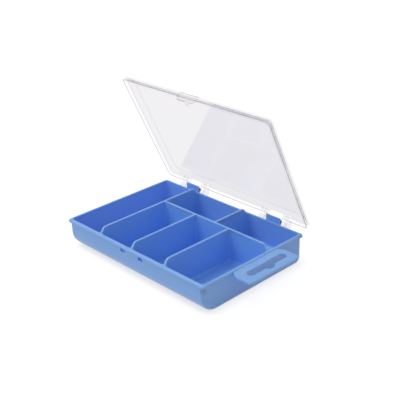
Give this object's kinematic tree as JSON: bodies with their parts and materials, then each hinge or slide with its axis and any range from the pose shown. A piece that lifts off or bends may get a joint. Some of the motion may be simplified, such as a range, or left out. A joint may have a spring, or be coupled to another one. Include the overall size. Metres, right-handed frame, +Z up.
{
  "type": "hinged-lid bead organizer",
  "caption": "Flat moulded tray divided into compartments, with one clear hinged lid, a snap latch and a hanging tab with a slot.",
  "frame": {"origin": "centre of the tray's underside", "axes": "+Z up, +X along the tray's length towards the hanging tab, +Y towards the hinge"},
  "size_m": [0.1365, 0.0893, 0.0999],
  "materials": {
    "blue_plastic": "smooth moulded polypropylene, soft gloss",
    "clear_plastic": "clear moulded polystyrene, high gloss"
  },
  "bodies": {
    "tray": {"tray": "blue_plastic"},
    "lid": {"lid": "clear_plastic"}
  },
  "joints": [
    {"name": "lid_hinge", "type": "hinge", "parent": "tray", "child": "lid", "pos_m": [0, 0.04475, 0.0183], "axis": [-1, 0, 0], "range_deg": [-65.1, 114.9]}
  ]
}
